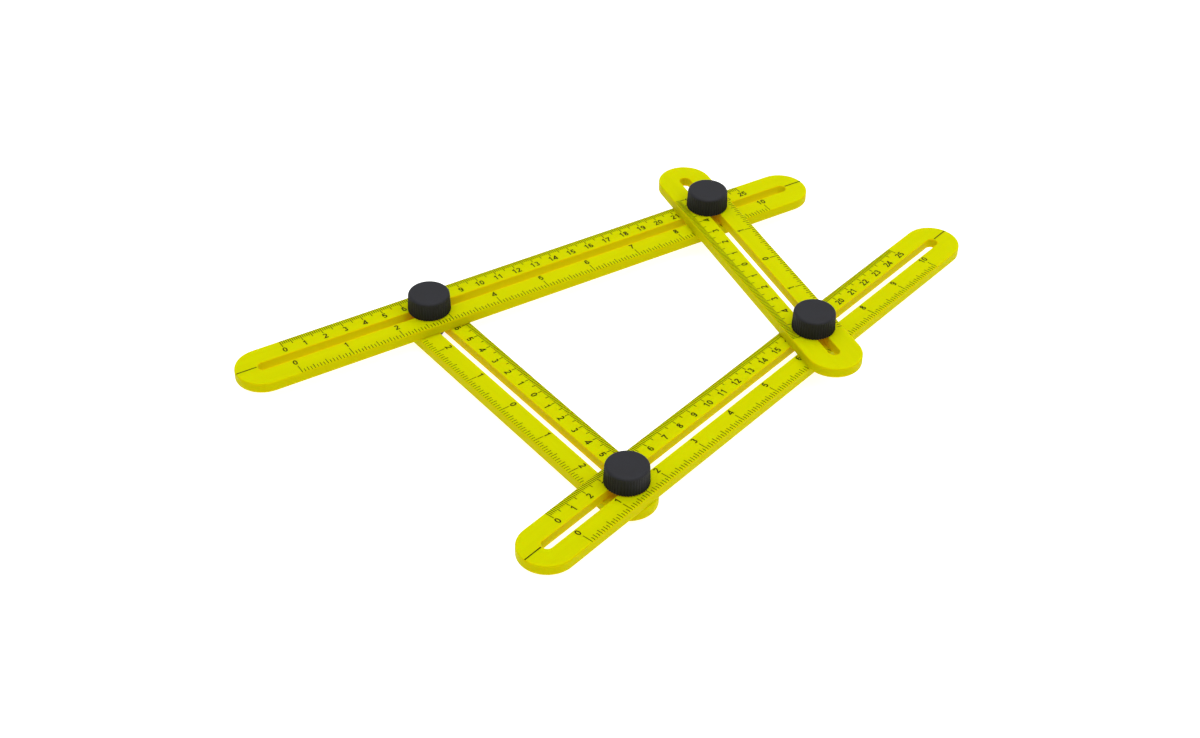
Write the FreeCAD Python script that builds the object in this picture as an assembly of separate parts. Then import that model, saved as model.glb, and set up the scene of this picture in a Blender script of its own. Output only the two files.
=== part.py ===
import FreeCAD, Part
import math
import os

# Multi-angle folding ruler: four slotted rulers that cross in pairs. A bolt goes up through both
# slots of each pair, and a fluted knob on the bolt clamps the two rulers together.
# Millimetres, +Z up, +X along the rear long ruler from its zero end. The origin is the middle of
# the whole outline, on the plane of the lowest bolt heads, which is what the tool stands on.

os.makedirs("parts", exist_ok=True)

# Rulers
RULER_WIDTH = 26.2
RULER_THICKNESS = 5.0
SLOT_WIDTH = 5.4
LONG_REACH = 282.6  # from the centre of one round end to the other, along the slot
SHORT_REACH = 150.6
EDGE_ROUND = 0.8  # of the outline's upper edge
BASE_ROUND = 0.4  # of its lower edge
SLOT_EDGE_BREAK = 0.2

# Where the bolts stand along each ruler, from the centre of its zero-side round end
REAR_LEFT_ON_REAR = 83.4
REAR_RIGHT_ON_REAR = 237.7
FRONT_LEFT_ON_FRONT = 50.25
FRONT_RIGHT_ON_FRONT = 183.05
REAR_LEFT_ON_LEFT = 1.0
FRONT_LEFT_ON_LEFT = 149.6
REAR_RIGHT_ON_RIGHT = 126.4
FRONT_ANGLE = 18.14  # of the front long ruler to the rear one, degrees
LEFT_ANGLE = -84.27  # of the left short ruler to the rear long one, degrees

# Bolts with a flat round head, a square neck and a threaded shank
BOLT_DIAMETER = 5.0
HEAD_DIAMETER = 13.4
HEAD_HEIGHT = 2.6
HEAD_ROUND = 0.9
NECK_WIDTH = 5.2
NECK_CORNER = 1.4  # so that the neck clears a slot's half-round end
NECK_HEIGHT = 3.6
BOLT_LENGTH = 16.0
BOLT_POINT = 0.4
THREAD_PITCH = 0.8
THREAD_DEPTH = 0.4
THREAD_TURNS = 9
THREAD_FLAT = 0.1  # width left at each crest

# Washers, which sit in a recess under each knob
WASHER_DIAMETER = 10.0
WASHER_BORE = 5.3
WASHER_THICKNESS = 1.0
WASHER_EDGE = 0.2

# Brass threaded inserts moulded into the knobs
INSERT_DIAMETER = 7.0
INSERT_LENGTH = 6.5
INSERT_CLEARANCE = 0.05  # between the crests of the two threads
INSERT_GROOVE_WIDTH = 1.2
INSERT_GROOVE_DEPTH = 0.5
KNURL_COUNT = 24
KNURL_RADIUS = 0.35

# Knobs
KNOB_DIAMETER = 20.0
KNOB_TOP_DIAMETER = 19.2
KNOB_HEIGHT = 9.4
KNOB_LIFT = 0.2  # between the knob's rim and the ruler below it
KNOB_SHOULDER = 1.5  # radius of the round between the side and the flat top
KNOB_BASE_EDGE = 0.25
KNOB_RECESS_DIAMETER = 10.6
FLUTE_COUNT = 48
FLUTE_RADIUS = 0.5
FLUTE_DEPTH = 0.5  # at the rim; the side leans in, so the upright flutes fade towards the top

# Levels of the lower faces of the three layers, and the two rulers under each knob
LOW_LAYER = HEAD_HEIGHT
MIDDLE_LAYER = LOW_LAYER + RULER_THICKNESS
HIGH_LAYER = MIDDLE_LAYER + RULER_THICKNESS
STACK = 2 * RULER_THICKNESS

UP = FreeCAD.Vector(0, 0, 1)


def plan(x, y, z=0.0):
    return FreeCAD.Vector(x, y, z)


def heading(degrees):
    angle = math.radians(degrees)
    return plan(math.cos(angle), math.sin(angle))


# Bolt axes, first with the rear left one at zero

def bolt_axes():
    rear_left = plan(0, 0)
    rear_right = plan(REAR_RIGHT_ON_REAR - REAR_LEFT_ON_REAR, 0)
    front_left = rear_left + heading(LEFT_ANGLE) * (FRONT_LEFT_ON_LEFT - REAR_LEFT_ON_LEFT)
    front_right = front_left + heading(FRONT_ANGLE) * (FRONT_RIGHT_ON_FRONT - FRONT_LEFT_ON_FRONT)
    return {
        "rear_left": rear_left,
        "rear_right": rear_right,
        "front_right": front_right,
        "front_left": front_left,
    }


def right_angle(axes):
    """Heading of the right short ruler, which runs from the front right bolt to the rear right."""
    run = axes["rear_right"] - axes["front_right"]
    return math.degrees(math.atan2(run.y, run.x))


def fold_centre(axes):
    """The point equally far from the two left bolts, and equally far from the two right ones.

    The front ruler turns about it with its bolts clamped. Both short rulers then turn half as
    far about the rear bolts, and the front bolts stay in their slots, because an angle at the
    rim of a circle is half the angle at its centre.
    """
    left_run = axes["front_left"] - axes["rear_left"]
    right_run = axes["front_right"] - axes["rear_right"]
    left_side = left_run.dot((axes["front_left"] + axes["rear_left"]) * 0.5)
    right_side = right_run.dot((axes["front_right"] + axes["rear_right"]) * 0.5)
    scale = left_run.x * right_run.y - left_run.y * right_run.x
    x = (left_side * right_run.y - left_run.y * right_side) / scale
    y = (left_run.x * right_side - left_side * right_run.x) / scale
    return plan(x, y)


# Rulers

def round_ended_plate(reach, radius, height):
    """A plate with two half-round ends, from the first end's centre along +X."""
    corners = [
        plan(0, -radius),
        plan(reach, -radius),
        plan(reach, radius),
        plan(0, radius),
    ]
    edges = [
        Part.LineSegment(corners[0], corners[1]).toShape(),
        Part.Arc(corners[1], plan(reach + radius, 0), corners[2]).toShape(),
        Part.LineSegment(corners[2], corners[3]).toShape(),
        Part.Arc(corners[3], plan(-radius, 0), corners[0]).toShape(),
    ]
    return Part.Face(Part.Wire(edges)).extrude(UP * height)


def ruler(reach):
    """A slotted ruler, its outer edges rounded and its slot's edges broken."""
    plate = round_ended_plate(reach, RULER_WIDTH / 2, RULER_THICKNESS)
    upper = [edge for edge in plate.Edges if edge.BoundBox.ZMin > RULER_THICKNESS - EDGE_ROUND]
    plate = plate.makeFillet(EDGE_ROUND, upper)
    lower = [edge for edge in plate.Edges if edge.BoundBox.ZMax < BASE_ROUND]
    plate = plate.makeFillet(BASE_ROUND, lower)
    slot = round_ended_plate(reach, SLOT_WIDTH / 2, RULER_THICKNESS)
    slotted = plate.cut(slot)
    inner = [edge for edge in slotted.Edges if is_slot_rim(edge)]
    return slotted.makeChamfer(SLOT_EDGE_BREAK, inner)


def is_slot_rim(edge):
    """Whether an edge lies flat and bounds the slot, within half a slot's width of the middle."""
    box = edge.BoundBox
    furthest = max(abs(box.YMin), abs(box.YMax))
    return box.ZLength < SLOT_EDGE_BREAK and furthest < SLOT_WIDTH / 2 + SLOT_EDGE_BREAK / 2


def laid(shape, station, degrees, axis, level):
    """Lays a ruler so that the station along it is on a bolt's axis, at its level."""
    laid_shape = shape.copy()
    laid_shape.translate(plan(-station, 0))
    laid_shape.rotate(plan(0, 0), UP, degrees)
    laid_shape.translate(plan(axis.x, axis.y, level))
    return laid_shape


# Hardware, each piece about the Z axis

def turned(points):
    """A solid of revolution about Z from an outline of (radius, height) points."""
    outline = [plan(radius, 0, height) for radius, height in points]
    face = Part.Face(Part.makePolygon(outline + outline[:1]))
    return face.revolve(plan(0, 0), UP, 360)


def thread_outline(crest, root, start, turns):
    """Zigzag (radius, height) points of rings that stand for a thread."""
    points = []
    for turn in range(turns):
        foot = start + turn * THREAD_PITCH
        points.append((crest, foot))
        points.append((crest, foot + THREAD_FLAT))
        points.append((root, foot + THREAD_PITCH / 2))
    points.append((crest, start + turns * THREAD_PITCH))
    return points


def bolt():
    """A bolt, its head hanging below height zero and its shank standing above."""
    head = Part.makeCylinder(HEAD_DIAMETER / 2, HEAD_HEIGHT, plan(0, 0, -HEAD_HEIGHT))
    lower_rim = [edge for edge in head.Edges if edge.BoundBox.ZMax < -HEAD_HEIGHT / 2]
    head = head.makeFillet(HEAD_ROUND, lower_rim)
    neck = Part.makeBox(
        NECK_WIDTH, NECK_WIDTH, NECK_HEIGHT, plan(-NECK_WIDTH / 2, -NECK_WIDTH / 2)
    )
    uprights = [edge for edge in neck.Edges if edge.BoundBox.ZLength > NECK_HEIGHT / 2]
    neck = neck.makeFillet(NECK_CORNER, uprights)
    radius = BOLT_DIAMETER / 2
    thread_start = BOLT_LENGTH - BOLT_POINT - THREAD_TURNS * THREAD_PITCH
    outline = [(0, -HEAD_HEIGHT / 2), (radius, -HEAD_HEIGHT / 2)]
    outline += thread_outline(radius, radius - THREAD_DEPTH, thread_start, THREAD_TURNS)
    outline += [(radius - BOLT_POINT, BOLT_LENGTH), (0, BOLT_LENGTH)]
    return head.fuse([neck, turned(outline)]).removeSplitter()


def washer():
    ring = Part.makeCylinder(WASHER_DIAMETER / 2, WASHER_THICKNESS)
    ring = ring.cut(Part.makeCylinder(WASHER_BORE / 2, WASHER_THICKNESS))
    outer = [edge for edge in ring.Edges if edge.BoundBox.XLength > WASHER_BORE + WASHER_EDGE]
    rims = [edge for edge in outer if edge.BoundBox.ZLength < WASHER_EDGE]
    return ring.makeChamfer(WASHER_EDGE, rims)


def insert_blank():
    """The insert's outside: a knurled barrel with a groove round its middle."""
    radius = INSERT_DIAMETER / 2
    low = (INSERT_LENGTH - INSERT_GROOVE_WIDTH) / 2
    high = low + INSERT_GROOVE_WIDTH
    waist = radius - INSERT_GROOVE_DEPTH
    barrel = turned([
        (0, 0), (radius, 0), (radius, low), (waist, low),
        (waist, high), (radius, high), (radius, INSERT_LENGTH), (0, INSERT_LENGTH),
    ])
    knurls = []
    for index in range(KNURL_COUNT):
        centre = heading(index * 360 / KNURL_COUNT) * (radius + KNURL_RADIUS / 2)
        knurls.append(Part.makeCylinder(KNURL_RADIUS, INSERT_LENGTH, centre))
    return barrel.cut(knurls)


def insert():
    crest = BOLT_DIAMETER / 2 + INSERT_CLEARANCE
    turns = int(INSERT_LENGTH / THREAD_PITCH)
    outline = [(0, 0)]
    outline += thread_outline(crest, crest + THREAD_DEPTH, 0, turns)
    outline += [(crest, INSERT_LENGTH), (0, INSERT_LENGTH)]
    return insert_blank().cut(turned(outline))


def knob():
    """A knob with its rim at height zero, hollowed for its washer and its insert."""
    base = KNOB_DIAMETER / 2
    top = KNOB_TOP_DIAMETER / 2
    body = Part.makeCone(base, top, KNOB_HEIGHT)
    top_rim = [edge for edge in body.Edges if edge.BoundBox.ZMin > KNOB_HEIGHT / 2]
    body = body.makeFillet(KNOB_SHOULDER, top_rim)
    base_rim = [edge for edge in body.Edges if edge.BoundBox.ZMax < KNOB_BASE_EDGE]
    body = body.makeChamfer(KNOB_BASE_EDGE, base_rim)
    flutes = []
    for index in range(FLUTE_COUNT):
        centre = heading(index * 360 / FLUTE_COUNT) * (base + FLUTE_RADIUS - FLUTE_DEPTH)
        flutes.append(Part.makeCylinder(FLUTE_RADIUS, KNOB_HEIGHT, centre))
    recess_depth = WASHER_THICKNESS - KNOB_LIFT
    recess = Part.makeCylinder(KNOB_RECESS_DIAMETER / 2, recess_depth)
    pocket = insert_blank()
    pocket.translate(UP * recess_depth)
    return body.cut(flutes).cut([recess, pocket])


def stood(shape, axis, height, degrees=0.0):
    """Stands a piece of hardware on a bolt's axis, at a height, turned to a heading."""
    stood_shape = shape.copy()
    stood_shape.rotate(plan(0, 0), UP, degrees)
    stood_shape.translate(plan(axis.x, axis.y, height))
    return stood_shape


def hardware_nodes(place, axis, under, degrees):
    """The bolt, washer, insert and knob of one crossing, whose lower ruler is at under."""
    above = under + STACK
    return {
        "bolt_" + place: stood(bolt(), axis, under, degrees),
        "washer_" + place: stood(washer(), axis, above, degrees),
        "insert_" + place: stood(insert(), axis, above + WASHER_THICKNESS, degrees),
        "knob_" + place: stood(knob(), axis, above + KNOB_LIFT, degrees),
    }


def all_nodes():
    """Every piece, with the rear left bolt's axis at zero."""
    axes = bolt_axes()
    right = right_angle(axes)
    long_ruler = ruler(LONG_REACH)
    short_ruler = ruler(SHORT_REACH)
    nodes = {
        "long_ruler_rear": laid(
            long_ruler, REAR_LEFT_ON_REAR, 0, axes["rear_left"], MIDDLE_LAYER
        ),
        "long_ruler_front": laid(
            long_ruler, FRONT_LEFT_ON_FRONT, FRONT_ANGLE, axes["front_left"], MIDDLE_LAYER
        ),
        "short_ruler_left": laid(
            short_ruler, REAR_LEFT_ON_LEFT, LEFT_ANGLE, axes["rear_left"], LOW_LAYER
        ),
        "short_ruler_right": laid(
            short_ruler, REAR_RIGHT_ON_RIGHT, right, axes["rear_right"], HIGH_LAYER
        ),
    }
    nodes.update(hardware_nodes("rear_left", axes["rear_left"], LOW_LAYER, LEFT_ANGLE))
    nodes.update(hardware_nodes("rear_right", axes["rear_right"], MIDDLE_LAYER, 0))
    nodes.update(hardware_nodes("front_right", axes["front_right"], MIDDLE_LAYER, FRONT_ANGLE))
    nodes.update(hardware_nodes("front_left", axes["front_left"], LOW_LAYER, LEFT_ANGLE))
    return nodes


def outline_middle(nodes):
    """The middle of the whole outline in plan, which becomes the origin."""
    box = Part.makeCompound(list(nodes.values())).optimalBoundingBox(False)
    return plan(box.Center.x, box.Center.y)


def export(nodes, origin):
    for name, shape in nodes.items():
        placed = shape.copy()
        placed.translate(origin * -1)
        placed.exportStep("parts/" + name + ".step")
        print(name, round(placed.Volume, 1), "mm3", len(placed.Solids), "solid")


def report(origin):
    """Prints the bolt axes and the fold's centre in the part's own frame."""
    axes = bolt_axes()
    for name, axis in axes.items():
        print("axis", name, round(axis.x - origin.x, 4), round(axis.y - origin.y, 4))
    centre = fold_centre(axes) - origin
    print("fold centre", round(centre.x, 4), round(centre.y, 4))
    print("right ruler heading", round(right_angle(axes), 4))


pieces = all_nodes()
middle = outline_middle(pieces)
export(pieces, middle)
report(middle)
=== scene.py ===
"""Looks of a multi-angle folding ruler: moulded rulers and their print, thumb knobs, bolts and washers.

Everything is in metres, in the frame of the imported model: +X along the rear long ruler from its zero end,
+Z up, and the origin in the middle of the outline, on the plane that the bolt heads stand on.
"""

import logging
import math
from dataclasses import dataclass, field
from enum import Enum
from typing import Any, Iterable, Sequence

import bmesh
import bpy
from mathutils import Matrix, Vector


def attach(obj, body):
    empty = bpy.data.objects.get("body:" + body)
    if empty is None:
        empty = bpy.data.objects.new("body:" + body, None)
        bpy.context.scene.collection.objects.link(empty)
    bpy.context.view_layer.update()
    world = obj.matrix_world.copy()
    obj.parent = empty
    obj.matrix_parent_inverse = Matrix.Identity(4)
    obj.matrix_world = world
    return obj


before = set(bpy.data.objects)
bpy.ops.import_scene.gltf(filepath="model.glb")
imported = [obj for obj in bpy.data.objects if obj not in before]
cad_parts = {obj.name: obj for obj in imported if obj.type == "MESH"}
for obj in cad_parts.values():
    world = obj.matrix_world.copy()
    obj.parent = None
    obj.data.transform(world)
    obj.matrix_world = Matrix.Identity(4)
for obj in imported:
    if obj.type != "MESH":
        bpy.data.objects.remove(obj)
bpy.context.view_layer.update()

log = logging.getLogger("folding_ruler")

Tree = bpy.types.NodeTree
Socket = bpy.types.NodeSocket
Material = bpy.types.Material
Pair = tuple[float, float]
Triple = tuple[float, float, float]

MM = 0.001
INCH = 25.4
MM_PER_CM = 10
SIXTEENTHS = 16

# The sRGB curve: where its straight toe ends, and what shapes the two parts
SRGB_TOE = 0.04045
SRGB_TOE_SLOPE = 12.92
SRGB_LIFT = 0.055
SRGB_SCALE = 1.055
SRGB_POWER = 2.4
TOP_BYTE = 255

# How nodes are laid out in a tree
TREE_STEP_X = 180
TREE_STEP_Y = 60
TREE_COLUMNS = 8


# Settings that several nodes share
SMOOTH = {"interpolation_type": "SMOOTHSTEP"}
COLOURS = {"data_type": "RGBA"}
PRODUCT = {"operation": "MULTIPLY"}


# Names that several classes share


class Slot(Enum):
    """Material slots of the record that are printed or dressed here."""

    PRINT = "print_ink"
    KNOB = "knob_plastic"
    BOLT = "bolt_steel"
    WASHER = "washer_steel"
    INSERT = "insert_brass"


class Kind(Enum):
    """Blender's names for the kinds of node that the finishes use."""

    PLACE = "ShaderNodeTexCoord"
    MAPPING = "ShaderNodeMapping"
    NOISE = "ShaderNodeTexNoise"
    WAVE = "ShaderNodeTexWave"
    RAMP = "ShaderNodeValToRGB"
    RANGE = "ShaderNodeMapRange"
    MIX = "ShaderNodeMix"
    MATH = "ShaderNodeMath"
    VECTOR_MATH = "ShaderNodeVectorMath"
    CLAMP = "ShaderNodeClamp"
    SPLIT = "ShaderNodeSeparateXYZ"
    JOIN = "ShaderNodeCombineXYZ"
    OPENNESS = "ShaderNodeAmbientOcclusion"
    BUMP = "ShaderNodeBump"
    SURFACE = "ShaderNodeBsdfPrincipled"
    BACKGROUND = "ShaderNodeBackground"
    MATERIAL_OUTPUT = "ShaderNodeOutputMaterial"
    WORLD_OUTPUT = "ShaderNodeOutputWorld"


class Unit(Enum):
    """The two scales that each ruler carries."""

    CENTIMETRE = "cm"
    INCH = "inch"


def linear(hex_colour: str) -> tuple[float, float, float, float]:
    """Turns an sRGB hex colour to linear.

    Args:
        hex_colour: Six hex digits, such as "d5d900".

    Returns:
        Red, green, blue and an alpha of one.
    """
    parts = []
    for start in (0, 2, 4):
        value = int(hex_colour[start : start + 2], 16) / TOP_BYTE
        if value <= SRGB_TOE:
            parts.append(value / SRGB_TOE_SLOPE)
        else:
            parts.append(((value + SRGB_LIFT) / SRGB_SCALE) ** SRGB_POWER)
    return (parts[0], parts[1], parts[2], 1.0)


def per_metre(feature_mm: float) -> float:
    """Scale of a texture in metres whose features are that many millimetres across."""
    return 1.0 / (feature_mm * MM)


def falls_over(span: Pair) -> dict[str, float]:
    """Values of a map range that falls from one to zero over a span."""
    return {"From Min": span[0], "From Max": span[1], "To Min": 1.0, "To Max": 0.0}


def spreads(middle: float, reach: Pair) -> dict[str, float]:
    """Values of a map range that ends a little below and a little above a value."""
    return {"To Min": middle - reach[0], "To Max": middle + reach[1]}


def raises(bump: Pair) -> dict[str, float]:
    """Values of a bump, from its strength and its height in millimetres."""
    return {"Strength": bump[0], "Distance": bump[1] * MM}


def fades(places: Pair, colours: tuple[str, str]) -> dict[str, Any]:
    """Settings of a colour ramp that goes from one sRGB hex colour to another."""
    return {"stops": list(zip(places, map(linear, colours)))}


# Materials


def add_node(
    tree: Tree,
    kind: Kind,
    values: dict[str | int, Any] | None = None,
    links: dict[str | int, Socket] | None = None,
    settings: dict[str, Any] | None = None,
) -> bpy.types.Node:
    """Adds a node to a tree with its settings and links.

    Args:
        tree: The node tree of a material or of the world.
        kind: The kind of node.
        values: Constant values by the input's name or number.
        links: Sockets that feed the inputs of these names or numbers.
        settings: Properties of the node. "stops" holds a colour ramp's (position, colour) pairs.

    Returns:
        The new node.
    """
    node = tree.nodes.new(kind.value)
    count = len(tree.nodes)
    node.location = (TREE_STEP_X * (count % TREE_COLUMNS), -TREE_STEP_Y * count)
    for name, value in (settings or {}).items():
        if name == "stops":
            ramp = node.color_ramp
            while len(ramp.elements) < len(value):
                ramp.elements.new(1.0)
            for element, (position, colour) in zip(ramp.elements, value):
                element.position = position
                element.color = colour
        else:
            setattr(node, name, value)
    for key, value in (values or {}).items():
        node.inputs[key].default_value = value
    for key, socket in (links or {}).items():
        tree.links.new(socket, node.inputs[key])
    return node


@dataclass(frozen=True)
class Finish:
    """A finish by its name. Each kind of finish adds its own nodes and ends them in one shader."""

    name: str

    def shader(self, tree: Tree) -> bpy.types.Node:
        """Adds the finish's nodes."""
        raise NotImplementedError(self.name)

    def material(self) -> Material:
        """Builds the material.

        Returns:
            The material.
        """
        material = bpy.data.materials.new(self.name)
        material.use_nodes = True
        tree = material.node_tree
        tree.nodes.clear()
        shader = self.shader(tree)
        add_node(tree, Kind.MATERIAL_OUTPUT, links={"Surface": shader.outputs[0]})
        return material


# In the finishes below, a _range or _stops pair says where a pattern's or mask's values start and end, a
# _bump pair is a strength and a height in millimetres, and a _spread pair is how far the roughness goes
# down and up.


@dataclass(frozen=True)
class MouldedAbs(Finish):
    """Injection-moulded ABS in lemon yellow, from a satin tool: the four rulers.

    The tool gives a soft sheen with a faint orange peel, the melt leaves slight streaks along the bar,
    and the washers rub a smoother track on each side of the slot. The resin lets light through for a few
    millimetres, red furthest. Light and shade are also painted into the colour: a darker amber painted
    shade on the upright walls, a brighter painted light on the slot's inner walls, and an amber painted
    glow in crevices, which also gives off a little light of its own.
    The satin face scatters what it reflects, so its specular level is far below a polished moulding's.
    """

    origin: Pair
    heading: float
    length: float
    body: str = "b9bc00"
    streak: str = "b6b900"
    scuff: str = "bfc20a"
    scuff_share: float = 0.35
    # Painted shade: a darker amber on the upright walls, laid on by how upright a face is
    wall: str = "b1ac00"
    wall_range: Pair = (0.55, 0.995)
    # Painted light: a brighter amber on the slot's inner walls
    slot_wall: str = "c6b900"
    # Painted glow: amber in the colour and in the emission, deep in crevices that occlusion finds
    gap: str = "d8aa00"
    gap_mm: float = 9.0
    gap_samples: int = 8
    gap_range: Pair = (0.02, 0.42)
    unlit: str = "000000"
    # How strongly the painted glow in crevices gives off light
    glow: float = 0.13
    depth_mm: float = 3.0
    depth_share: float = 0.7
    depth_by_colour: Triple = (1.0, 0.5, 0.03)
    roughness: float = 0.45
    sheen_roughness: float = 0.36
    scratch_roughness: float = 0.18
    specular: float = 0.01
    gloss_tint: str = "fff030"
    ior: float = 1.53
    peel_mm: float = 1.6
    peel_bump: Pair = (0.25, 0.03)
    # A satin tool's grain is about 0.05 mm, and is drawn coarser so that it shows.
    grain_mm: float = 0.16
    grain_bump: Pair = (0.2, 0.01)
    streak_mm: Triple = (60.0, 3.0, 4.0)
    streak_range: Pair = (0.38, 0.68)
    # Half widths of the rubbed track and of what counts as the slot, and how softly both end
    track_mm: float = 5.0
    slot_mm: float = 3.2
    fade_mm: float = 0.6
    # A scratch is about 0.1 mm wide, and is drawn wider so that it shows.
    scratch_mm: Triple = (14.0, 0.5, 5.0)
    scratch_turn: float = 9.0
    scratch_range: Pair = (0.69, 0.76)
    scratch_bump: Pair = (0.3, 0.01)

    def shader(self, tree: Tree) -> bpy.types.Node:
        """Adds the nodes, with their patterns laid along the ruler.

        Args:
            tree: The material's tree.

        Returns:
            The shader.
        """
        source = add_node(tree, Kind.PLACE)
        place = source.outputs["Object"]
        local = add_node(
            tree, Kind.MAPPING,
            {"Location": (*self.origin, 0.0), "Rotation": (0.0, 0.0, self.heading)},
            {"Vector": place},
            {"vector_type": "TEXTURE"},
        ).outputs[0]
        scratches = self._scratches(tree, local)
        gaps = self._gaps(tree)
        # Painted glow: the emission's colour, amber deep in crevices and black in the open
        painted_glow = add_node(
            tree, Kind.MIX, {6: linear(self.unlit), 7: linear(self.gap)}, {0: gaps}, COLOURS
        ).outputs[2]
        return add_node(
            tree, Kind.SURFACE,
            {
                "IOR": self.ior,
                "Specular IOR Level": self.specular,
                "Specular Tint": linear(self.gloss_tint),
                "Subsurface Weight": self.depth_share,
                "Subsurface Radius": self.depth_by_colour,
                "Subsurface Scale": self.depth_mm * MM,
                "Emission Strength": self.glow,
            },
            {
                "Base Color": self._colour(tree, local, source.outputs["Normal"], scratches, gaps),
                "Roughness": self._roughness(tree, local, scratches),
                "Emission Color": painted_glow,
                "Normal": self._surface(tree, place, scratches),
            },
        )

    def _colour(
        self, tree: Tree, local: Socket, normal: Socket, scratches: Socket, gaps: Socket
    ) -> Socket:
        """The body's colour, covered in turn by scuffs in the scratches, painted shade on the upright
        walls, painted light on the slot's inner walls and an amber painted glow in crevices.

        Args:
            tree: The material's tree.
            local: The place along and across the ruler.
            normal: The object's normal.
            scratches: The mask of the scratches.
            gaps: The mask of the crevices, where the painted glow goes.

        Returns:
            The colour.
        """
        walls = self._walls(tree, normal)
        slot_wall_light_share = add_node(
            tree, Kind.MATH,
            links={0: walls, 1: self._beside_slot(tree, local, self.slot_mm)},
            settings=PRODUCT,
        ).outputs[0]
        scuffs = add_node(tree, Kind.MATH, {1: self.scuff_share}, {0: scratches}, PRODUCT).outputs[0]
        colour = add_node(
            tree, Kind.MIX,
            {6: linear(self.body), 7: linear(self.streak)},
            {0: self._streaks(tree, local)},
            COLOURS,
        ).outputs[2]
        # Painted light and shade over the body colour: painted shade on upright walls, painted light on the
        # slot's inner walls and a painted glow in crevices
        covers = (
            (self.scuff, scuffs),
            (self.wall, walls),
            (self.slot_wall, slot_wall_light_share),
            (self.gap, gaps),
        )
        for cover, share in covers:
            colour = add_node(
                tree, Kind.MIX, {7: linear(cover)}, {0: share, 6: colour}, COLOURS
            ).outputs[2]
        return colour

    def _roughness(self, tree: Tree, local: Socket, scratches: Socket) -> Socket:
        """The roughness, lower on the rubbed track and higher in a scratch.

        Args:
            tree: The material's tree.
            local: The place along and across the ruler.
            scratches: The mask of the scratches.

        Returns:
            The roughness.
        """
        rubbed = add_node(
            tree, Kind.RANGE,
            {"To Min": self.roughness, "To Max": self.sheen_roughness},
            {"Value": self._beside_slot(tree, local, self.track_mm)},
        ).outputs[0]
        return add_node(
            tree, Kind.MATH,
            {1: self.scratch_roughness},
            {0: scratches, 2: rubbed},
            {"operation": "MULTIPLY_ADD"},
        ).outputs[0]

    def _streaks(self, tree: Tree, local: Socket) -> Socket:
        """Pale and dark flow streaks along the bar, as the melt ran.

        Args:
            tree: The material's tree.
            local: The place along and across the ruler.

        Returns:
            The mask of the streaks.
        """
        stretched = add_node(
            tree, Kind.MAPPING,
            {"Scale": tuple(per_metre(size) for size in self.streak_mm)},
            {"Vector": local},
        ).outputs[0]
        noise = add_node(
            tree, Kind.NOISE, {"Scale": 1.0, "Detail": 4.0, "Distortion": 0.6}, {"Vector": stretched}
        )
        return add_node(
            tree, Kind.RANGE,
            {"From Min": self.streak_range[0], "From Max": self.streak_range[1]},
            {"Value": noise.outputs[0]},
        ).outputs[0]

    def _gaps(self, tree: Tree) -> Socket:
        """Finds the depths of crevices, where an amber glow is painted into the colour and the emission.

        Args:
            tree: The material's tree.

        Returns:
            A mask of one deep in a crevice and zero in the open.
        """
        openness = add_node(
            tree, Kind.OPENNESS, {"Distance": self.gap_mm * MM}, settings={"samples": self.gap_samples}
        ).outputs["AO"]
        return add_node(
            tree, Kind.RANGE, falls_over(self.gap_range), {"Value": openness}, SMOOTH
        ).outputs[0]

    def _walls(self, tree: Tree, normal: Socket) -> Socket:
        """Finds the upright walls.

        Args:
            tree: The material's tree.
            normal: The object's normal.

        Returns:
            A mask of one on the upright walls and zero on the flat faces.
        """
        rise = add_node(tree, Kind.SPLIT, links={"Vector": normal}).outputs["Z"]
        flat = add_node(tree, Kind.MATH, links={0: rise}, settings={"operation": "ABSOLUTE"}).outputs[0]
        return add_node(tree, Kind.RANGE, falls_over(self.wall_range), {"Value": flat}, SMOOTH).outputs[0]

    def _beside_slot(self, tree: Tree, local: Socket, reach_mm: float) -> Socket:
        """Finds what is close to the slot's middle line.

        Args:
            tree: The material's tree.
            local: The place along and across the ruler.
            reach_mm: How far from the line counts as close.

        Returns:
            A mask of one up to that distance, and zero further out.
        """
        here = add_node(tree, Kind.SPLIT, links={"Vector": local})
        along = add_node(tree, Kind.CLAMP, {"Max": self.length}, {"Value": here.outputs["X"]})
        nearest = add_node(
            tree, Kind.JOIN, links={"X": along.outputs[0], "Z": here.outputs["Z"]}
        ).outputs[0]
        distance = add_node(
            tree, Kind.VECTOR_MATH, links={0: local, 1: nearest}, settings={"operation": "DISTANCE"}
        ).outputs["Value"]
        return add_node(
            tree, Kind.RANGE,
            falls_over((reach_mm * MM, (reach_mm + self.fade_mm) * MM)),
            {"Value": distance},
            SMOOTH,
        ).outputs[0]

    def _scratches(self, tree: Tree, local: Socket) -> Socket:
        """Sparse fine scratches, roughly along the bar.

        Args:
            tree: The material's tree.
            local: The place along and across the ruler.

        Returns:
            The mask of the scratches.
        """
        turned = add_node(
            tree, Kind.MAPPING,
            {
                "Rotation": (0.0, 0.0, math.radians(self.scratch_turn)),
                "Scale": tuple(per_metre(size) for size in self.scratch_mm),
            },
            {"Vector": local},
        ).outputs[0]
        noise = add_node(
            tree, Kind.NOISE, {"Scale": 1.0, "Detail": 2.0, "Roughness": 0.4}, {"Vector": turned}
        )
        return add_node(
            tree, Kind.RANGE,
            {"From Min": self.scratch_range[0], "From Max": self.scratch_range[1]},
            {"Value": noise.outputs[0]},
        ).outputs[0]

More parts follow.
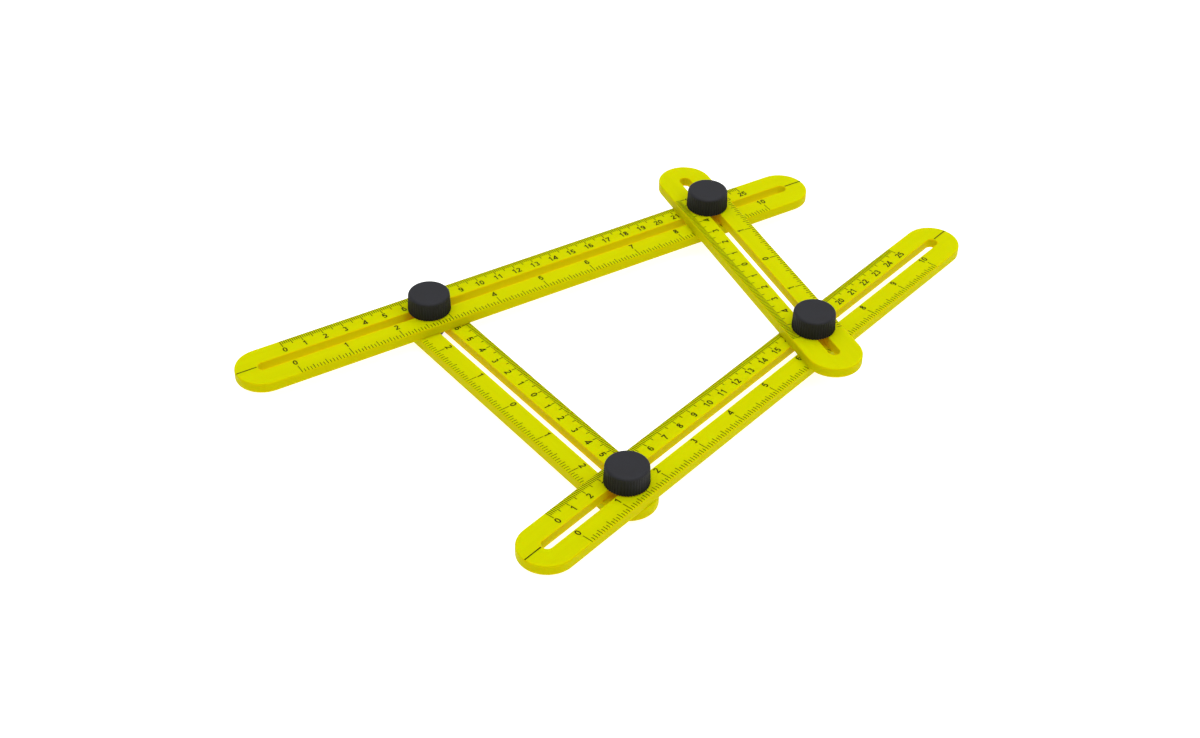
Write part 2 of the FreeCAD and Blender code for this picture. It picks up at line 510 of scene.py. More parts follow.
    def _surface(self, tree: Tree, place: Socket, scratches: Socket) -> Socket:
        """Orange peel, the tool's fine grain and the scratches, as one bump.

        Args:
            tree: The material's tree.
            place: The place in the object.
            scratches: The mask of the scratches.

        Returns:
            The bumped normal.
        """
        normal = {}
        for size_mm, detail, bump in (
            (self.peel_mm, 1.0, self.peel_bump),
            (self.grain_mm, 2.0, self.grain_bump),
        ):
            noise = add_node(
                tree, Kind.NOISE, {"Scale": per_metre(size_mm), "Detail": detail}, {"Vector": place}
            )
            wave = add_node(tree, Kind.BUMP, raises(bump), {"Height": noise.outputs[0], **normal})
            normal = {"Normal": wave.outputs[0]}
        return add_node(
            tree, Kind.BUMP, raises(self.scratch_bump), {"Height": scratches, **normal}, {"invert": True}
        ).outputs[0]


@dataclass(frozen=True)
class PadPrintedInk(Finish):
    """Pad-printed ink, black but thin, so that the yellow under it turns it olive.

    The pad lays it a little unevenly, which leaves faint pale patches inside the strokes.
    """

    name: str = "ink_pad_printed"
    dense: str = "2a2500"
    thin: str = "453f00"
    stops: Pair = (0.42, 0.75)
    gloss_tint: str = "fff030"
    roughness: float = 0.6
    spread: Pair = (0.1, 0.12)
    specular: float = 0.1
    ior: float = 1.5
    patch_mm: float = 0.7
    fleck_mm: float = 0.18
    fleck_bump: Pair = (0.2, 0.005)

    def shader(self, tree: Tree) -> bpy.types.Node:
        """Adds the nodes.

        Args:
            tree: The material's tree.

        Returns:
            The shader.
        """
        place = add_node(tree, Kind.PLACE).outputs["Object"]
        patch = add_node(
            tree, Kind.NOISE, {"Scale": per_metre(self.patch_mm), "Detail": 3.0}, {"Vector": place}
        )
        fleck = add_node(
            tree, Kind.NOISE, {"Scale": per_metre(self.fleck_mm), "Detail": 1.0}, {"Vector": place}
        )
        colour = add_node(
            tree, Kind.RAMP,
            links={"Fac": patch.outputs[0]},
            settings=fades(self.stops, (self.dense, self.thin)),
        )
        rough = add_node(
            tree, Kind.RANGE, spreads(self.roughness, self.spread), {"Value": fleck.outputs[0]}
        )
        bump = add_node(tree, Kind.BUMP, raises(self.fleck_bump), {"Height": fleck.outputs[0]})
        return add_node(
            tree, Kind.SURFACE,
            {
                "IOR": self.ior,
                "Specular IOR Level": self.specular,
                "Specular Tint": linear(self.gloss_tint),
            },
            {"Base Color": colour.outputs[0], "Roughness": rough.outputs[0], "Normal": bump.outputs[0]},
        )


@dataclass(frozen=True)
class SparkErodedNylon(Finish):
    """Glass-filled nylon, black, from a spark-eroded tool: the thumb knobs.

    The eroded tool leaves a fine even grain on the top that scatters light. The top is coloured a lighter,
    bluish charcoal as painted light, and the fluted side is painted near black, without the top's grain
    colour, as painted shade.
    """

    name: str = "nylon_spark_eroded"
    # The top's colours, lighter and bluer than the side: painted light
    body: str = "18181d"
    pale: str = "202127"
    stops: Pair = (0.16, 0.42)
    # Painted shade: the fluted side's near black, laid on by how upright a face is
    side: str = "0f0f10"
    side_range: Pair = (0.1, 0.97)
    roughness: float = 0.6
    spread: Pair = (0.12, 0.12)
    specular: float = 0.22
    ior: float = 1.53
    # The eroded grain is about 0.1 mm, and is drawn coarser so that it shows.
    grain_mm: float = 0.32
    grain_bump: Pair = (0.5, 0.04)
    cloud_mm: float = 5.0

    def shader(self, tree: Tree) -> bpy.types.Node:
        """Adds the nodes.

        Args:
            tree: The material's tree.

        Returns:
            The shader.
        """
        source = add_node(tree, Kind.PLACE)
        place = source.outputs["Object"]
        grain = add_node(
            tree, Kind.NOISE,
            {"Scale": per_metre(self.grain_mm), "Detail": 3.0, "Roughness": 0.6},
            {"Vector": place},
        )
        cloud = add_node(
            tree, Kind.NOISE, {"Scale": per_metre(self.cloud_mm), "Detail": 3.0}, {"Vector": place}
        )
        mixed = add_node(
            tree, Kind.MATH, links={0: grain.outputs[0], 1: cloud.outputs[0]}, settings=PRODUCT
        )
        top = add_node(
            tree, Kind.RAMP,
            links={"Fac": mixed.outputs[0]},
            settings=fades(self.stops, (self.body, self.pale)),
        )
        rise = add_node(tree, Kind.SPLIT, links={"Vector": source.outputs["Normal"]})
        # Painted shade: the side's near black takes over where a face stands upright
        upright = add_node(
            tree, Kind.RANGE, falls_over(self.side_range), {"Value": rise.outputs["Z"]}, SMOOTH
        )
        colour = add_node(
            tree, Kind.MIX, {7: linear(self.side)}, {0: upright.outputs[0], 6: top.outputs[0]}, COLOURS
        )
        rough = add_node(
            tree, Kind.RANGE, spreads(self.roughness, self.spread), {"Value": cloud.outputs[0]}
        )
        bump = add_node(tree, Kind.BUMP, raises(self.grain_bump), {"Height": grain.outputs[0]})
        return add_node(
            tree, Kind.SURFACE,
            {"IOR": self.ior, "Specular IOR Level": self.specular},
            {"Base Color": colour.outputs[2], "Roughness": rough.outputs[0], "Normal": bump.outputs[0]},
        )


@dataclass(frozen=True)
class PlatedMetal(Finish):
    """A turned or stamped metal piece with a thin plated or blackened coat.

    Turning leaves fine rings about the piece's axis, which stretch its highlights into bands, and the coat
    clouds a little from place to place. The rings are laid out over the piece's own width, where their
    step brings them about 0.2 mm apart, a little coarser than they are, so that they show.
    """

    body: str
    cloud: str
    roughness: float
    ring_step: float
    ring_depth_mm: float
    ring_strength: float = 0.4
    ring_waver: float = 0.3
    cloud_mm: float = 2.5
    stops: Pair = (0.35, 0.7)
    spread: Pair = (0.08, 0.1)
    ring_shift: Triple = (-0.5, -0.5, 0.0)

    def shader(self, tree: Tree) -> bpy.types.Node:
        """Adds the nodes.

        Args:
            tree: The material's tree.

        Returns:
            The shader.
        """
        source = add_node(tree, Kind.PLACE)
        centred = add_node(
            tree, Kind.MAPPING, {"Location": self.ring_shift}, {"Vector": source.outputs["Generated"]}
        )
        rings = add_node(
            tree, Kind.WAVE,
            {"Scale": 1.0 / self.ring_step, "Distortion": self.ring_waver, "Detail": 2.0},
            {"Vector": centred.outputs[0]},
            {"wave_type": "RINGS", "rings_direction": "Z"},
        )
        cloud = add_node(
            tree, Kind.NOISE,
            {"Scale": per_metre(self.cloud_mm), "Detail": 4.0},
            {"Vector": source.outputs["Object"]},
        )
        colour = add_node(
            tree, Kind.RAMP,
            links={"Fac": cloud.outputs[0]},
            settings=fades(self.stops, (self.body, self.cloud)),
        )
        rough = add_node(
            tree, Kind.RANGE, spreads(self.roughness, self.spread), {"Value": cloud.outputs[0]}
        )
        bump = add_node(
            tree, Kind.BUMP,
            raises((self.ring_strength, self.ring_depth_mm)),
            {"Height": rings.outputs[1]},
        )
        return add_node(
            tree, Kind.SURFACE,
            {"Metallic": 1.0},
            {"Base Color": colour.outputs[0], "Roughness": rough.outputs[0], "Normal": bump.outputs[0]},
        )


@dataclass(frozen=True)
class OpalAcrylic(Finish):
    """Cast opal acrylic with a sanded face, lit from below: the board that the tool lies on.

    The light that comes up through it takes the shadows off, and the sanding leaves a faint even stipple.
    """

    name: str = "acrylic_opal_sanded"
    body: str = "c6c6c6"
    shade: str = "c2c2c2"
    stops: Pair = (0.3, 0.7)
    roughness: float = 0.9
    specular: float = 0.1
    light: str = "ffffff"
    glow: float = 0.8
    # The sanding is about 0.1 mm, and is drawn coarser so that it shows.
    stipple_mm: float = 1.2
    stipple_bump: Pair = (0.1, 0.02)

    def shader(self, tree: Tree) -> bpy.types.Node:
        """Adds the nodes.

        Args:
            tree: The material's tree.

        Returns:
            The shader.
        """
        place = add_node(tree, Kind.PLACE).outputs["Object"]
        stipple = add_node(
            tree, Kind.NOISE, {"Scale": per_metre(self.stipple_mm), "Detail": 2.0}, {"Vector": place}
        )
        colour = add_node(
            tree, Kind.RAMP,
            links={"Fac": stipple.outputs[0]},
            settings=fades(self.stops, (self.shade, self.body)),
        )
        bump = add_node(tree, Kind.BUMP, raises(self.stipple_bump), {"Height": stipple.outputs[0]})
        return add_node(
            tree, Kind.SURFACE,
            {
                "Roughness": self.roughness,
                "Specular IOR Level": self.specular,
                "Emission Color": linear(self.light),
                "Emission Strength": self.glow,
            },
            {"Base Color": colour.outputs[0], "Normal": bump.outputs[0]},
        )


def add_object(
    shape: bmesh.types.BMesh, name: str, material: Material | None = None
) -> bpy.types.Object:
    """Turns a shape into an object of the scene.

    Args:
        shape: The shape, which is freed.
        name: The name of the object and of its mesh.
        material: Its material, where it needs one.

    Returns:
        The object.
    """
    mesh = bpy.data.meshes.new(name)
    shape.to_mesh(mesh)
    shape.free()
    if material:
        mesh.materials.append(material)
    made = bpy.data.objects.new(name, mesh)
    bpy.context.scene.collection.objects.link(made)
    return made


# Numerals, drawn as a stroke of one width like the plain sans-serif figures on rulers


@dataclass(frozen=True)
class Stroke:
    """One line of a numeral, as points in a frame one unit tall, and whether it closes on itself."""

    points: Sequence[Pair]
    closed: bool = False


def arc(centre: Pair, radii: Pair, start: float, end: float, steps: int = 14) -> list[Pair]:
    """Points on part of an ellipse.

    Args:
        centre: The ellipse's centre.
        radii: Its half width and half height.
        start: First angle in degrees.
        end: Last angle in degrees.
        steps: How many runs the arc is cut into.

    Returns:
        The points from start to end.
    """
    points = []
    for step in range(steps + 1):
        angle = math.radians(start + (end - start) * step / steps)
        x = centre[0] + radii[0] * math.cos(angle)
        points.append((x, centre[1] + radii[1] * math.sin(angle)))
    return points


@dataclass
class Numerals:
    """The ten figures. Sizes are shares of a figure's height.

    A corner is mitred until its normal is turned so far that its share falls to the mitre limit.
    """

    weight: float = 0.175
    width: float = 0.64
    advance: float = 0.735
    mitre_limit: float = 0.45
    shapes: dict[str, bpy.types.Mesh] = field(default_factory=dict)

    def strokes(self, figure: str) -> list[Stroke]:
        """The strokes of one figure, along the middle of the line.

        The numbers here are places and radii in a figure one unit tall, and angles in degrees.

        Args:
            figure: A character from 0 to 9.

        Returns:
            The strokes.
        """
        half = self.weight / 2
        low, high = half, 1 - half
        left, right = half, self.width - half
        middle = self.width / 2
        reach = middle - half
        if figure == "0":
            return [Stroke(arc((middle, 0.5), (reach, 0.5 - half), 90, 450, 32)[:-1], True)]
        if figure == "1":
            stem = middle + 0.06
            flag = [(0.12, 0.74), (stem - 0.1, 0.84)]
            return [Stroke(flag + [(stem, high + half * 0.2), (stem, 0.0)])]
        if figure == "2":
            bowl = arc((middle, 0.71), (reach, 0.29 - half), 160, -38)
            return [Stroke(bowl + [(left + 0.02, low), (self.width, low)])]
        if figure == "3":
            upper = arc((middle - 0.01, 0.745), (reach * 0.92, 0.255 - half), 150, -80)
            lower = arc((middle, 0.275), (reach, 0.275 - half), 82, -152)
            return [Stroke(upper), Stroke(lower)]
        if figure == "4":
            bar = 0.25
            stem = self.width * 0.76
            return [
                Stroke([(self.width + 0.03, bar), (0.02, bar), (stem, high + 0.04)]),
                Stroke([(stem, 1.0), (stem, 0.0)]),
            ]
        if figure == "5":
            bowl = arc((middle - 0.005, 0.33), (reach, 0.33 - half), 140, -148, 20)
            flag = [(self.width - 0.04, high), (left + 0.09, high), (left + 0.02, 0.5)]
            return [Stroke(flag + bowl[1:])]
        if figure == "6":
            over = arc((middle + 0.02, 0.62), (reach, 0.38 - half), 44, 180)
            ring = arc((middle, 0.33), (reach, 0.33 - half), 180, 540, 28)[:-1]
            return [Stroke(over + [(left + 0.005, 0.34)]), Stroke(ring, True)]
        if figure == "7":
            leg = [(middle + 0.06, 0.56), (middle - 0.06, 0.28), (middle - 0.1, 0.0)]
            return [Stroke([(0.0, high), (right, high)] + leg)]
        if figure == "8":
            upper = arc((middle, 0.755), (reach * 0.88, 0.245 - half), 90, 450, 26)[:-1]
            lower = arc((middle, 0.28), (reach, 0.28 - half), 90, 450, 28)[:-1]
            return [Stroke(upper, True), Stroke(lower, True)]
        # A 9 is a 6 turned end for end.
        return [
            Stroke([(self.width - x, 1 - y) for x, y in stroke.points], stroke.closed)
            for stroke in self.strokes("6")
        ]

    def shape(self, figure: str) -> bpy.types.Mesh:
        """The closed solid of one figure, one unit tall and one unit thick.

        Args:
            figure: A character from 0 to 9.

        Returns:
            A mesh that is shared by every copy of the figure.
        """
        if figure not in self.shapes:
            solids = [
                self._ribbon(stroke, f"figure_{figure}_{index}")
                for index, stroke in enumerate(self.strokes(figure))
            ]
            base = solids[0]
            for other in solids[1:]:
                joined = base.modifiers.new("join", "BOOLEAN")
                joined.operation = "UNION"
                joined.solver = "EXACT"
                joined.object = other
            bpy.context.view_layer.update()
            evaluated = base.evaluated_get(bpy.context.evaluated_depsgraph_get())
            self.shapes[figure] = bpy.data.meshes.new_from_object(evaluated)
            for solid in solids:
                bpy.data.objects.remove(solid)
        return self.shapes[figure]

    def _ribbon(self, stroke: Stroke, name: str) -> bpy.types.Object:
        """A solid that follows a stroke at the line's width, with mitred corners.

        Args:
            stroke: The stroke.
            name: The solid's name.

        Returns:
            The solid, one unit thick.
        """
        points = [Vector(point) for point in stroke.points]
        count = len(points)
        sides: list[tuple[Vector, Vector]] = []
        for place, point in enumerate(points):
            before = points[place - 1] if place > 0 or stroke.closed else None
            after = points[(place + 1) % count] if place < count - 1 or stroke.closed else None
            runs = []
            if before is not None:
                runs.append((point - before).normalized())
            if after is not None:
                runs.append((after - point).normalized())
            along = sum(runs, Vector((0.0, 0.0))).normalized()
            normal = Vector((-along.y, along.x))
            spread = max(abs(normal.dot(Vector((-runs[0].y, runs[0].x)))), self.mitre_limit)
            offset = normal * (self.weight / 2 / spread)
            sides.append((point + offset, point - offset))
        shape = bmesh.new()
        lower = [[shape.verts.new((*side, 0.0)) for side in pair] for pair in sides]
        upper = [[shape.verts.new((*side, 1.0)) for side in pair] for pair in sides]
        last = count if stroke.closed else count - 1
        for place in range(last):
            after = (place + 1) % count
            near_low, far_low = lower[place], lower[after]
            near_up, far_up = upper[place], upper[after]
            shape.faces.new((near_low[0], near_low[1], far_low[1], far_low[0]))
            shape.faces.new((near_up[0], near_up[1], far_up[1], far_up[0]))
            shape.faces.new((near_low[0], far_low[0], far_up[0], near_up[0]))
            shape.faces.new((near_low[1], far_low[1], far_up[1], near_up[1]))
        if not stroke.closed:
            for place in (0, count - 1):
                under, over = lower[place], upper[place]
                shape.faces.new((under[0], under[1], over[1], over[0]))
        bmesh.ops.recalc_face_normals(shape, faces=shape.faces)
        return add_object(shape, name)


# Rulers


@dataclass
class Scale:
    """One printed scale of a ruler, in millimetres in the ruler's own frame.

    The frame starts at the centre of the zero-side round end, with X along the ruler and Y towards the
    centimetre edge. Ticks are counted from the zero, and side is 1 or -1 for the edge that they stand on.
    """

    unit: Unit
    zero: float
    pitch: float
    first: int
    last: int
    per_label: int
    lengths: tuple[tuple[int, float], ...]
    edge: float
    side: int
    label_y: float
    tick_width: float = 0.33

    def length(self, index: int) -> float:
        """How long the tick of that number is, by the first divisor that fits it."""
        return next(length for divisor, length in self.lengths if index % divisor == 0)


@dataclass
class PrintLayer:
    """Builds the printed marks of one ruler as thin closed solids in one mesh.

    A mark that begins at the outline wraps over the ruler's rounded edge, at the leans given in degrees.
    """

    name: str
    edge_round: float
    height_mm: float = 0.02
    figure_mm: float = 3.2
    leans: Triple = (40.0, 20.0, 0.0)

    def __post_init__(self) -> None:
        """Starts with an empty mesh."""
        self.shape = bmesh.new()

    def mark(self, start: Pair, run: Pair, length: float, width: float) -> None:
        """Adds a straight mark that begins at the outline and runs in over the flat top.

        Args:
            start: Where the mark's middle line meets the ruler's outline, in millimetres.
            run: Unit direction from there inwards.
            length: How far in from the outline it reaches.
            width: Its width.
        """
        stations = []
        for lean in self.leans:
            angle = math.radians(lean)
            inset = self.edge_round * (1 - math.sin(angle))
            stations.append((inset, self.edge_round * (math.cos(angle) - 1), angle))
        stations.append((length, 0.0, 0.0))
        side = (-run[1] * width / 2, run[0] * width / 2)
        corners = ((0.0, -1), (0.0, 1), (self.height_mm, 1), (self.height_mm, -1))
        rings = []
        for inset, height, angle in stations:
            ring = []
            for rise, hand in corners:
                reach = inset - rise * math.sin(angle)
                x = start[0] + run[0] * reach + side[0] * hand
                y = start[1] + run[1] * reach + side[1] * hand
                ring.append(self.shape.verts.new((x, y, height + rise * math.cos(angle))))
            rings.append(ring)
        for near, far in zip(rings, rings[1:]):
            for place in range(len(corners)):
                after = (place + 1) % len(corners)
                self.shape.faces.new((near[place], near[after], far[after], far[place]))
        self.shape.faces.new(rings[0][::-1])
        self.shape.faces.new(rings[-1])

    def ticks(self, scale: Scale) -> None:
        """Adds every tick of a scale.

        Args:
            scale: The scale.
        """
        for index in range(scale.first, scale.last + 1):
            start = (scale.zero + index * scale.pitch, scale.side * scale.edge)
            self.mark(start, (0.0, -scale.side), scale.length(index), scale.tick_width)

    def number(self, text: str, x: float, y: float, numerals: Numerals) -> None:
        """Adds a number centred on a point.

        Args:
            text: The number's figures.
            x: Centre along the ruler, in millimetres.
            y: Centre across the ruler, in millimetres.
            numerals: The figures.
        """
        size = self.figure_mm
        width = ((len(text) - 1) * numerals.advance + numerals.width) * size
        for place, figure in enumerate(text):
            left = x - width / 2 + place * numerals.advance * size
            move = Matrix.Translation((left, y - size / 2, 0.0))
            self.add_mesh(numerals.shape(figure), move @ Matrix.Diagonal((size, size, self.height_mm, 1.0)))

    def add_mesh(self, mesh: bpy.types.Mesh, move: Matrix) -> None:
        """Adds a copy of a mesh, moved.

        Args:
            mesh: The mesh.
            move: Where the copy goes.
        """
        before = len(self.shape.verts)
        self.shape.from_mesh(mesh)
        self.shape.verts.ensure_lookup_table()
        bmesh.ops.transform(self.shape, matrix=move, verts=self.shape.verts[before:])

    def labels(self, scale: Scale, numerals: Numerals) -> None:
        """Adds the number at every whole centimetre or inch.

        Args:
            scale: The scale.
            numerals: The figures.
        """
        first = math.ceil(scale.first / scale.per_label)
        for whole in range(first, scale.last // scale.per_label + 1):
            x = scale.zero + whole * scale.per_label * scale.pitch
            self.number(str(abs(whole)), x, scale.label_y, numerals)

    def finish(self, place: Matrix, material: Material) -> bpy.types.Object:
        """Turns the marks into an object.

        Args:
            place: The ruler's place, with its top face at height zero.
            material: The ink.

        Returns:
            The object.
        """
        bmesh.ops.recalc_face_normals(self.shape, faces=self.shape.faces)
        bmesh.ops.transform(self.shape, matrix=place @ Matrix.Scale(MM, 4), verts=self.shape.verts)
        return add_object(self.shape, self.name, material)


@dataclass
class Ruler:
    """One slotted ruler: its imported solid, dressed, and the print on its top face.

    Sizes are in millimetres. The origin is the centre of the zero-side round end, and the labels' heights
    are from the ruler's middle line. Tick lengths go by the first divisor that fits the tick's number.
    """

    node: str
    body: str
    origin: Pair
    heading: float
    top: float
    reach: float
    long: bool
    width: float = 26.2
    edge_round: float = 0.8
    slot_width: float = 5.4
    cm_zero: float = 13.2
    inch_shift: float = -0.1
    long_cm: int = 25
    long_inches: int = 10
    short_cm: int = 6
    short_sixteenths: int = 38
    cm_lengths: tuple[tuple[int, float], ...] = ((10, 5.0), (5, 4.6), (1, 3.1))
    inch_lengths: tuple[tuple[int, float], ...] = ((16, 5.4), (8, 3.65), (4, 3.2), (2, 2.8), (1, 2.3))
    cm_label: float = 5.9
    long_inch_label: float = -5.0
    short_inch_label: float = -5.4
    index_gap: float = 0.4
    index_width: float = 0.55
    index_y: float = 0.7

    def place(self) -> Matrix:
        """The ruler's place in the frame, at its top face, in metres."""
        move = Matrix.Translation((self.origin[0] * MM, self.origin[1] * MM, self.top * MM))
        return move @ Matrix.Rotation(math.radians(self.heading), 4, "Z")

    def scales(self) -> list[Scale]:
        """The centimetre and inch scales: from one end on a long ruler, about the middle on a short one.

        Returns:
            The two scales.
        """
        if self.long:
            cm_zero, inch_zero = self.cm_zero, self.cm_zero + self.inch_shift
            cm_span = (0, self.long_cm * MM_PER_CM)
            inch_span = (0, self.long_inches * SIXTEENTHS)
        else:
            cm_zero = inch_zero = self.reach / 2
            cm_span = (-self.short_cm * MM_PER_CM, self.short_cm * MM_PER_CM)
            inch_span = (-self.short_sixteenths, self.short_sixteenths)
        edge = self.width / 2
        centimetres = Scale(
            Unit.CENTIMETRE,
            zero=cm_zero,
            pitch=1.0,
            first=cm_span[0],
            last=cm_span[1],
            per_label=MM_PER_CM,
            lengths=self.cm_lengths,
            edge=edge,
            side=1,
            label_y=self.cm_label,
        )
        inches = Scale(
            Unit.INCH,
            zero=inch_zero,
            pitch=INCH / SIXTEENTHS,
            first=inch_span[0],
            last=inch_span[1],
            per_label=SIXTEENTHS,
            lengths=self.inch_lengths,
            edge=edge,
            side=-1,
            label_y=self.long_inch_label if self.long else self.short_inch_label,
        )
        return [centimetres, inches]

    def build(self, numerals: Numerals, ink: Material) -> list[bpy.types.Object]:
        """Dresses the solid and builds the print.

        Args:
            numerals: The figures.
            ink: The print's material.

        Returns:
            The new pieces.
        """
        finish = MouldedAbs(
            f"abs_moulded_{self.node}",
            (self.origin[0] * MM, self.origin[1] * MM),
            math.radians(self.heading),
            self.reach * MM,
        )
        dress(self.node, finish.material())
        made = []
        for scale in self.scales():
            layer = PrintLayer(f"{self.node}_{scale.unit.value}_scale", self.edge_round)
            layer.ticks(scale)
            layer.labels(scale, numerals)
            made.append(layer.finish(self.place(), ink))
        if self.long:
            made.append(self._index_lines(ink))
        for piece in made:
            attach(piece, self.body)
        return made

    def _index_lines(self, ink: Material) -> bpy.types.Object:
        """The line on each round end that carries the ruler's middle to its tip.

        Args:
            ink: The print's material.

        Returns:
            Both lines as one object.
        """
        layer = PrintLayer(f"{self.node}_index_lines", self.edge_round)
        tip = math.sqrt((self.width / 2) ** 2 - self.index_y**2)
        length = tip - self.slot_width / 2 - self.index_gap
        layer.mark((-tip, self.index_y), (1.0, 0.0), length, self.index_width)
        layer.mark((self.reach + tip, self.index_y), (-1.0, 0.0), length, self.index_width)
        return layer.finish(self.place(), ink)


def dress(node: str, material: Material) -> None:
    """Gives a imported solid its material.

    Args:
        node: The solid's name.
        material: Its material.
    """
    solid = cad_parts[node]
    if not solid.material_slots:
        solid.data.materials.append(material)
    for held in solid.material_slots:
        held.material = material


# Clamps


@dataclass
class Clamp:
    """The bolt, washer, insert and knob at one crossing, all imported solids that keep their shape."""

    place: str

    def build(self, finishes: dict[Slot, Material]) -> list[str]:
        """Dresses the four pieces.

        Args:
            finishes: The material of each slot.

        Returns:
            The names of the dressed solids.
        """
        pieces = {
            f"knob_{self.place}": Slot.KNOB,
            f"bolt_{self.place}": Slot.BOLT,
            f"washer_{self.place}": Slot.WASHER,
            f"insert_{self.place}": Slot.INSERT,
        }
        for node, slot in pieces.items():
            dress(node, finishes[slot])
        return list(pieces)


# Studio


@dataclass
class Softbox:
    """A square softbox that looks at the object, with its side in metres and its power in watts."""

    name: str
    position: Triple
    side: float
    power: float
    target: Triple = (0.0, 0.0, 0.0)

    def build(self) -> bpy.types.Object:
        """Builds the light.

        Returns:
            The light's object.
        """
        light = bpy.data.lights.new(self.name, "AREA")
        light.shape = "SQUARE"
        light.size = self.side
        light.energy = self.power
        lamp = bpy.data.objects.new(self.name, light)
        bpy.context.scene.collection.objects.link(lamp)
        lamp.location = self.position
        aim = Vector(self.target) - Vector(self.position)
        lamp.rotation_euler = aim.to_track_quat("-Z", "Y").to_euler()
        return lamp


@dataclass
class Studio:
    """The board, the softboxes and the camera. Lengths are in metres and angles in degrees."""

    floor_side: float = 12.0
    room: str = "ffffff"
    ambient: float = 0.73
    overhead: Softbox = field(default_factory=lambda: Softbox("overhead", (0.15, -0.2, 2.0), 3.0, 44.0))
    front: Softbox = field(default_factory=lambda: Softbox("front", (-0.3, -2.2, 1.2), 1.6, 6.0))
    focal_mm: float = 61.5
    sensor_mm: float = 36.0
    azimuth: float = -32.31
    elevation: float = 38.56
    roll: float = 1.16
    distance: float = 0.9315
    target: Triple = (-0.024749, 0.002394, 0.0026)
    sight: float = 50.0

    def build(self) -> None:
        """Builds everything round the object."""
        self._floor()
        self._world()
        for box in (self.overhead, self.front):
            box.build()
        self._camera()
        bpy.context.scene.view_settings.view_transform = "Standard"

    def _floor(self) -> None:
        """A wide board under the bolt heads."""
        half = self.floor_side / 2
        shape = bmesh.new()
        signs = ((-1, -1), (1, -1), (1, 1), (-1, 1))
        shape.faces.new([shape.verts.new((x * half, y * half, 0.0)) for x, y in signs])
        board = add_object(shape, "board", OpalAcrylic().material())

    def _world(self) -> None:
        """An even pale room, dimmer than the softboxes."""
        world = bpy.data.worlds.new("room")
        bpy.context.scene.world = world
        world.use_nodes = True
        tree = world.node_tree
        tree.nodes.clear()
        values = {"Color": linear(self.room), "Strength": self.ambient}
        light = add_node(tree, Kind.BACKGROUND, values)
        add_node(tree, Kind.WORLD_OUTPUT, links={"Surface": light.outputs[0]})

    def _camera(self) -> None:
        """The camera where the photograph was taken from."""
        azimuth = math.radians(self.azimuth)
        elevation = math.radians(self.elevation)
        roll = math.radians(self.roll)
        back = Vector(
            (
                math.sin(azimuth) * math.cos(elevation),
                -math.cos(azimuth) * math.cos(elevation),
                math.sin(elevation),
            )
        )
        right = (-back).cross(Vector((0.0, 0.0, 1.0))).normalized()
        up = right.cross(-back)
        rolled_right = right * math.cos(roll) + up * math.sin(roll)
        rolled_up = up * math.cos(roll) - right * math.sin(roll)
        turn = Matrix((rolled_right, rolled_up, back)).transposed().to_4x4()
        data = bpy.data.cameras.new("camera")
        data.lens = self.focal_mm
        data.sensor_width = self.sensor_mm
        data.sensor_fit = "HORIZONTAL"
        data.clip_end = self.sight
        camera = bpy.data.objects.new("camera", data)
        bpy.context.scene.collection.objects.link(camera)
        camera.matrix_world = Matrix.Translation(Vector(self.target) + back * self.distance) @ turn
        bpy.context.scene.camera = camera


# The whole tool


@dataclass(frozen=True)
class Lay:
    """How a ruler lies, in millimetres and degrees.

    The station is how far along the ruler the bolt stands, and the top is its upper face's height.
    """

    bolt: Pair
    station: float
    heading: float
    top: float

    def start(self) -> Pair:
        """The centre of the ruler's zero-side end.

        Returns:
            The point.
        """
        angle = math.radians(self.heading)
        x, y = self.bolt
        return (x - self.station * math.cos(angle), y - self.station * math.sin(angle))


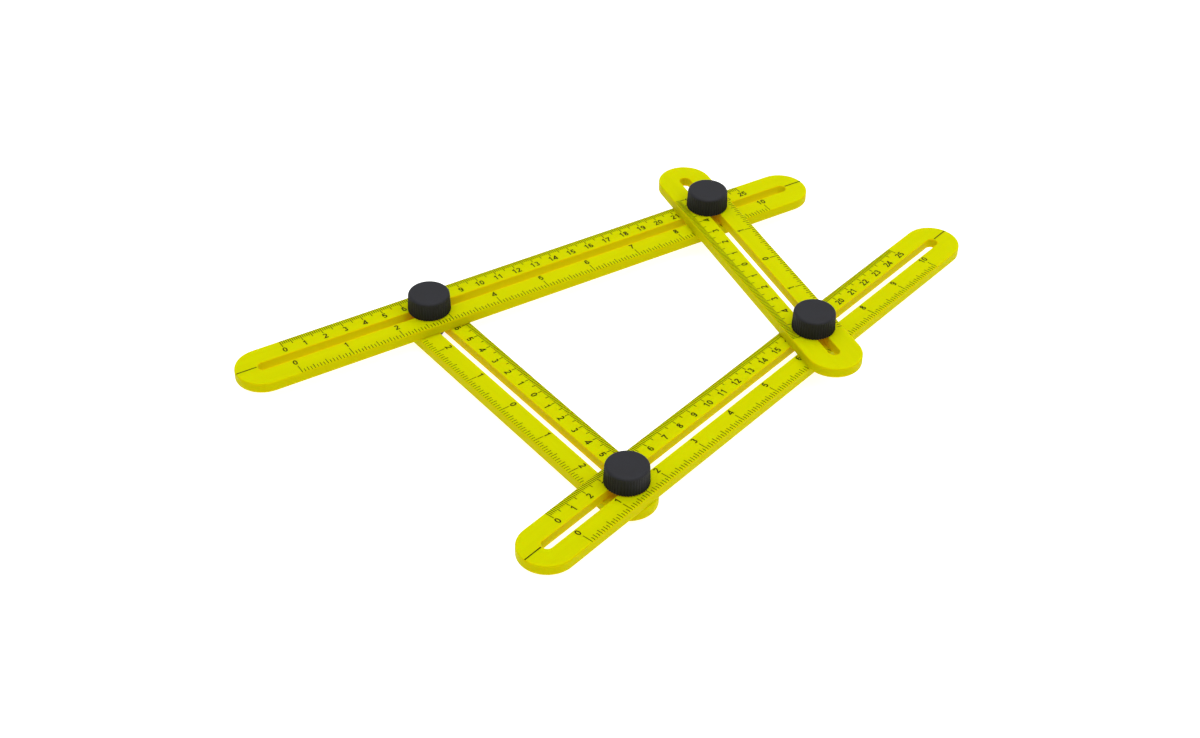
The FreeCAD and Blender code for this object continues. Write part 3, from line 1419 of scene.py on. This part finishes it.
@dataclass
class Layout:
    """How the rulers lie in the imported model, and how far apart the centres of a ruler's ends are."""

    rear: Lay = Lay(bolt=(-76.1191, 69.7439), station=83.4, heading=0.0, top=12.6)
    front: Lay = Lay(bolt=(-61.2828, -78.1136), station=50.25, heading=18.14, top=12.6)
    left: Lay = Lay(bolt=(-76.1191, 69.7439), station=1.0, heading=-84.27, top=7.6)
    right: Lay = Lay(bolt=(78.1809, 69.7439), station=126.4, heading=82.9014, top=17.6)
    long_reach: float = 282.6
    short_reach: float = 150.6

    def rulers(self) -> Iterable[Ruler]:
        """The four rulers, from the rear one round.

        Yields:
            Each ruler at its place.
        """
        for node, body, lay, long in (
            ("long_ruler_rear", "rear_ruler", self.rear, True),
            ("long_ruler_front", "front_ruler", self.front, True),
            ("short_ruler_left", "left_ruler", self.left, False),
            ("short_ruler_right", "right_ruler", self.right, False),
        ):
            reach = self.long_reach if long else self.short_reach
            yield Ruler(node, body, lay.start(), lay.heading, lay.top, reach, long)


def metal_finishes() -> dict[Slot, Material]:
    """The finish of each clamp piece.

    Returns:
        The material of each slot.
    """
    # Steel blackened in a hot oxide bath: nearly black, with a dull oily sheen.
    black = PlatedMetal("steel_black_oxide", "2a2a2b", "3a3835", 0.45, 0.06, 0.02)
    # Steel plated with zinc: pale blue-grey, with clouds where the bath ran.
    zinc = PlatedMetal("steel_zinc_plated", "b9bdc2", "d2d4d6", 0.34, 0.05, 0.01)
    # Brass turned from bar: warm and bright, with close tool rings.
    brass = PlatedMetal("brass_turned", "c79a4a", "b8893c", 0.28, 0.05, 0.01)
    return {
        Slot.KNOB: SparkErodedNylon().material(),
        Slot.BOLT: black.material(),
        Slot.WASHER: zinc.material(),
        Slot.INSERT: brass.material(),
    }


def report(pieces: Sequence[str], kind: str) -> None:
    """Logs each piece that was made or dressed."""
    for piece in pieces:
        log.info("%s: %s", kind, piece)


def main() -> None:
    """Builds the looks in order and logs each piece."""
    logging.basicConfig(level=logging.INFO, format="%(name)s %(message)s")
    numerals = Numerals()
    ink = PadPrintedInk().material()
    finishes = metal_finishes()
    for ruler in Layout().rulers():
        made = ruler.build(numerals, ink)
        report([ruler.node] + [piece.name for piece in made], "ruler")
    for place in ("rear_left", "rear_right", "front_right", "front_left"):
        report(Clamp(place).build(finishes), "clamp")
    Studio().build()


if __name__ == "__main__":
    main()
